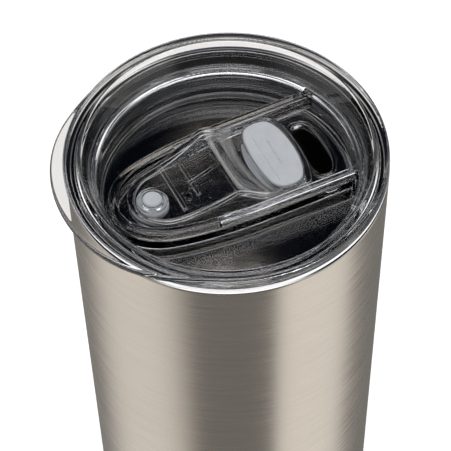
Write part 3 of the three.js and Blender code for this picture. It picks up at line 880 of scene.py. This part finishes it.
# Drinking seal, +Y half: x, y
pad_table = pad_outline_table([
    (8.0, 0), (8.2, 4.5), (9.0, 8.8), (10.6, 11.3), (13.6, 12.1),
    (17.0, 11.4), (18.9, 8.6), (19.9, 4.4), (20.2, 0),
])
foot_table = pad_outline_table([
    (6.4, 0), (6.9, 4.6), (8.4, 9.0), (11.2, 11.4), (14.6, 11.9),
    (18.0, 11.0), (19.4, 7.4), (19.95, 3.6), (20.05, 0),
])

# Slider's top face along the middle: x, lid height
SLIDER_TOP = [
    (-34, -7.3), (-26, -7.3), (-22, -7.25), (-17.6, -6.9), (-12.0, -5.4), (-7.0, -3.4),
    (-4.2, -2.0), (-2.8, -1.5), (-1.4, -1.75), (0.8, -2.9), (3.6, -5.0), (6.2, -6.6),
    (8.6, -7.2), (12.0, -7.35), (18, -7.4), (30, -7.4),
]
TOP_STEP = 0.1
top_curve = catmull(SLIDER_TOP, 20)
top_x = np.arange(-34, 30.01, TOP_STEP)
top_z = np.interp(top_x, top_curve[:, 0], top_curve[:, 1])
top_kernel = np.exp(-0.5 * (np.arange(-12, 13) / 4.0) ** 2)
top_kernel /= top_kernel.sum()
top_z = np.convolve(np.pad(top_z, 12, mode="edge"), top_kernel, "valid")
top_slope = np.gradient(top_z, TOP_STEP)

SCOOP_DEPTH, SCOOP_HALF_Y = 2.1, 11.5
CROWN_DROP, CROWN_HALF_Y = 0.35, 12.0


def above_top(x, y, z):
    """Distance above the slider's top face, measured square to its slope."""
    # the +X side of the ridge is scooped for the thumb, so it lies nearer -X in the middle
    across = np.clip(1 - (y / SCOOP_HALF_Y) ** 2, 0, 1)
    scoop = SCOOP_DEPTH * across * smooth_step(-3.0, 1.5, x) * smooth_step(16.0, 8.0, x)
    height = np.interp(x + scoop, top_x, top_z)
    slope = np.interp(x + scoop, top_x, top_slope)
    crown = CROWN_DROP * (y / CROWN_HALF_Y) ** 2 * smooth_step(7.0, -4.0, x)
    return (z - (height - crown)) / np.sqrt(1 + slope * slope)


SLIDER_BOTTOM, SLIDER_SIDE_WALL, SLIDER_TOP_WALL = -10.7, 1.65, 1.5
RIB_LOW, RIB_HIGH = (-11.6, -0.3, -9.4), (-4.6, 0.3, -3.0)
BOSS_R, BOSS_HOLE_R, BOSS_Z, BOSS_HALF_H = 4.0, 3.0, -8.2, 1.0
# Grip ribs: centre x, half width, centre y, half length
GRIP_RIBS = [(-16.45, 0.5, 0.7, 8.3), (-11.4, 0.45, 0.2, 5.8)]
GRIP_RISE, GRIP_ROOT = 0.5, 0.8
# Runner on the +Y side; the other mirrors it
RUNNER_LOW, RUNNER_HIGH = (-7.6, 12.4, -9.7), (18.2, 14.95, -8.5)
RUNNER_REACH = 1.2  # beyond the slider's sides
PAD_CLEARANCE = 0.28


def slider_field(x, y, z):
    above = above_top(x, y, z)
    plan = slider_table(x, y)
    d = soft_max(plan, above, 0.6)
    d = soft_max(d, SLIDER_BOTTOM - z, 0.3)
    # hollow underside
    hollow = soft_max(plan + SLIDER_SIDE_WALL, above + SLIDER_TOP_WALL, 1.0)
    d = soft_max(d, -hollow, 0.3)
    # centre rib
    rib = soft_box(x, y, z, RIB_LOW, RIB_HIGH, 0.15)
    d = soft_min(d, np.maximum(rib, above + 0.6), 0.4)
    # plug boss, with the hole the plug's nub snaps through
    from_plug = np.sqrt((x - PLUG_X) ** 2 + y * y)
    boss = soft_max(from_plug - BOSS_R, band(z, BOSS_Z, BOSS_HALF_H), 0.3)
    d = soft_min(d, boss, 0.4)
    d = soft_max(d, -(from_plug - BOSS_HOLE_R), 0.3)
    # grip ribs
    grips = []
    for centre_x, half_x, centre_y, half_y in GRIP_RIBS:
        grip = soft_max(band(x, centre_x, half_x), band(y, centre_y, half_y), 0.3)
        grips.append(soft_max(grip, above - GRIP_RISE, 0.25))
    grip = np.maximum(np.minimum(*grips), -(above + GRIP_ROOT))
    d = soft_min(d, grip, 0.35)
    # runners
    runner = soft_box(x, np.abs(y), z, RUNNER_LOW, RUNNER_HIGH, 0.35)
    d = soft_min(d, np.maximum(runner, plan - RUNNER_REACH), 0.25)
    # window for the pad
    window = np.maximum(pad_table(x, y) - PAD_CLEARANCE, band(z, -8, 5))
    return soft_max(d, -window, 0.3)


slider = solid_from(
    "slider", slider_field, (-30.5, -15.6, -11.2), (22.6, 15.6, -0.6), SLIDER_CELL
)
finish_piece(slider, CLEAR_SLIDER, "slider", "slider_body")

# Middle height and half thickness of the pad and of the foot below it
PAD_Z, PAD_HALF_H = -9.1, 1.93
FOOT_Z, FOOT_HALF_H = -11.25, 0.3


def pad_field(x, y, z):
    body = soft_max(pad_table(x, y) - 0.02, band(z, PAD_Z, PAD_HALF_H), 0.7)
    foot = soft_max(foot_table(x, y), band(z, FOOT_Z, FOOT_HALF_H), 0.35)
    d = soft_min(body, foot, 0.3)
    # two shallow grooves along Y in the top face
    wide = soft_box(x, y, z, (14.0, -4.6, -7.5), (14.55, 4.6, -6.0), 0.3)
    fine = soft_box(x, y, z, (10.9, -9.5, -7.32), (11.3, 9.0, -6.0), 0.2)
    d = soft_max(d, -wide, 0.2)
    return soft_max(d, -fine, 0.15)


pad = solid_from("drink_pad", pad_field, (6, -13, -12), (21, 13, -6.8), SLIDER_CELL)
finish_piece(pad, SEAL, "slider", "drink_seal")

# Vent plug: radius, lid height, fillet radius
plug_profile = [
    (0, -11.6, 0), (4.2, -11.6, 0.4), (4.6, -11.2, 0.4), (4.6, -10.0, 0.4), (4.2, -9.6, 0.4),
    (2.72, -9.6, 0.3), (2.72, -7.1, 0.25), (2.3, -6.75, 0.4), (0, -6.75, 0),
]
plug = lathe(
    "vent_plug", plug_profile, closed=False, segments=96, base_z=LID_Z, axis_x=PLUG_X
)
finish_piece(plug, SEAL, "slider", "vent_seal")

# ------------------------------------------------------------------ floor
FLOOR_HALF, FLOOR_DROP = 6.0, -0.0006  # metres
floor_mesh = bpy.data.meshes.new("floor")
floor_signs = [(-1, -1), (1, -1), (1, 1), (-1, 1)]
floor_corners = [(a * FLOOR_HALF, b * FLOOR_HALF, FLOOR_DROP) for a, b in floor_signs]
floor_mesh.from_pydata(floor_corners, [], [(0, 1, 2, 3)])
floor = bpy.data.objects.new("floor", floor_mesh)
scene.collection.objects.link(floor)


def pale_floor():
    """An even tone, except to the camera's direct rays, which see a lit and glowing surface."""
    made, nodes = new_material("pale_floor")
    matte = nodes.add("BsdfDiffuse", Color=(0.86, 0.86, 0.86, 1))
    glow = nodes.add("Emission", Color=(1, 1, 1, 1), Strength=0.62)
    seen = nodes.add("AddShader", matte, glow)
    even = nodes.add("Emission", Color=(0.93, 0.905, 0.89, 1))
    is_camera = nodes.add("LightPath").outputs["Is Camera Ray"]
    nodes.add("OutputMaterial", nodes.add("MixShader", is_camera, even, seen))
    return made


floor_mesh.materials.append(pale_floor())
floor.visible_glossy = False
floor.visible_shadow = False
floor.visible_diffuse = False

# ------------------------------------------------------------------ world: dim room, four soft panels
VIEW_TURN = -25.0  # degrees the view is turned about Z from looking along +Y
CAMERA_AZIMUTH = math.radians(-90.0 + VIEW_TURN)
FILL = 0.22  # dim even surroundings, up to the panels' height
OVERHEAD = 2.3  # strength of the panel overhead
OVERHEAD_SINE = 0.87  # sine of elevation where it starts
EDGE = 0.06  # softness of the panels' edges, in sine of elevation
# Standing panels: azimuth from the camera (positive to the right), half width and soft edge
# in degrees, lowest and highest sine of elevation, strength
PANELS = [
    (-80, 55, 45, -1.0, 0.5, 0.70),
    (70, 40, 15, -1.0, 0.5, 0.80),
    (180, 50, 20, 0.05, 0.50, 1.10),
]
# Red, green and blue: weight of the standing panels and fill, of the overhead, of ambient
CHANNELS = [(1.0, 0.98, 0.010), (0.985, 0.98, 0.014), (0.96, 1.02, 0.026)]


def studio_light(nodes, direction):
    """The studio's light by direction: soft panels left, right, behind and overhead."""
    x, y, z = nodes.add("SeparateXYZ", direction).outputs
    _, unit_x, unit_y = nodes.unit_xy(x, y, least=0.001)
    camera_x, camera_y = math.cos(CAMERA_AZIMUTH), math.sin(CAMERA_AZIMUTH)
    cos_azimuth = nodes.weighted(unit_x, camera_x, unit_y, camera_y)
    sin_azimuth = nodes.math(
        "SUBTRACT",
        nodes.math("MULTIPLY", unit_y, camera_x),
        nodes.math("MULTIPLY", unit_x, camera_y),
    )
    fill = nodes.map_range(z, source=(0.45, 0.62), target=(1, 0))
    standing = nodes.math("MULTIPLY", fill, FILL)
    for azimuth, half, soft, low, high, strength in PANELS:
        cos, sin = math.cos(math.radians(azimuth)), math.sin(math.radians(azimuth))
        near = nodes.weighted(cos_azimuth, cos, sin_azimuth, sin)
        sides = (math.cos(math.radians(half)), math.cos(math.radians(half - soft)))
        panel = nodes.map_range(near, source=sides, target=(0, 1))
        for sine, target in ((low, (0, 1)), (high, (1, 0))):
            edge = nodes.map_range(z, source=(sine - EDGE, sine + EDGE), target=target)
            panel = nodes.math("MULTIPLY", panel, edge)
        standing = nodes.math("ADD", standing, nodes.math("MULTIPLY", panel, strength))
    past_edge = nodes.math("SUBTRACT", z, OVERHEAD_SINE)
    overhead = nodes.map_range(past_edge, source=(0.0, EDGE), target=(0, 1))
    overhead = nodes.math("MULTIPLY", overhead, OVERHEAD)
    ambient = nodes.map_range(z, source=(-0.1, 0.5), target=(0, 1))
    channels = []
    for of_standing, of_overhead, of_ambient in CHANNELS:
        panels = nodes.weighted(standing, of_standing, overhead, of_overhead)
        extra = nodes.math("MULTIPLY", ambient, of_ambient)
        channels.append(nodes.math("ADD", panels, extra))
    return nodes.add("CombineColor", *channels)


world = bpy.data.worlds.new("studio")
scene.world = world
world_nodes = Nodes(world)
direction = world_nodes.add("TexCoord").outputs["Generated"]
studio = world_nodes.add("Background", Color=studio_light(world_nodes, direction))
white = world_nodes.add("Background", Color=(1.0, 1.0, 1.0, 1))
is_camera = world_nodes.add("LightPath").outputs["Is Camera Ray"]
world_nodes.add("OutputWorld", world_nodes.add("MixShader", is_camera, studio, white))

# ------------------------------------------------------------------ camera
CAMERA_PLACE = (-0.910, -908.7, 1267.35)  # before the view is turned
CAMERA_DOWN, CAMERA_ROLL = math.radians(51.027), math.radians(-1.289)


def turned(vector):
    cos, sin = math.cos(math.radians(VIEW_TURN)), math.sin(math.radians(VIEW_TURN))
    x, y, z = vector
    return Vector((x * cos - y * sin, x * sin + y * cos, z))


forward = turned((0, math.cos(CAMERA_DOWN), -math.sin(CAMERA_DOWN)))
level_right = turned((1, 0, 0))
level_up = level_right.cross(forward)
camera_right = level_right * math.cos(CAMERA_ROLL) + level_up * math.sin(CAMERA_ROLL)
camera_up = -level_right * math.sin(CAMERA_ROLL) + level_up * math.cos(CAMERA_ROLL)

camera_data = bpy.data.cameras.new("photo_camera")
camera_data.sensor_width = 36.0
camera_data.lens = 414.79024
camera_data.clip_start = 0.05
camera_data.clip_end = 50
camera = bpy.data.objects.new("photo_camera", camera_data)
scene.collection.objects.link(camera)
pose = Matrix((camera_right, camera_up, -forward)).transposed().to_4x4()
pose.translation = turned(CAMERA_PLACE) / 1000
camera.matrix_world = pose
scene.camera = camera

scene.view_settings.view_transform = "Standard"
scene.cycles.max_bounces = 20
scene.cycles.transmission_bounces = 18
scene.cycles.transparent_max_bounces = 32
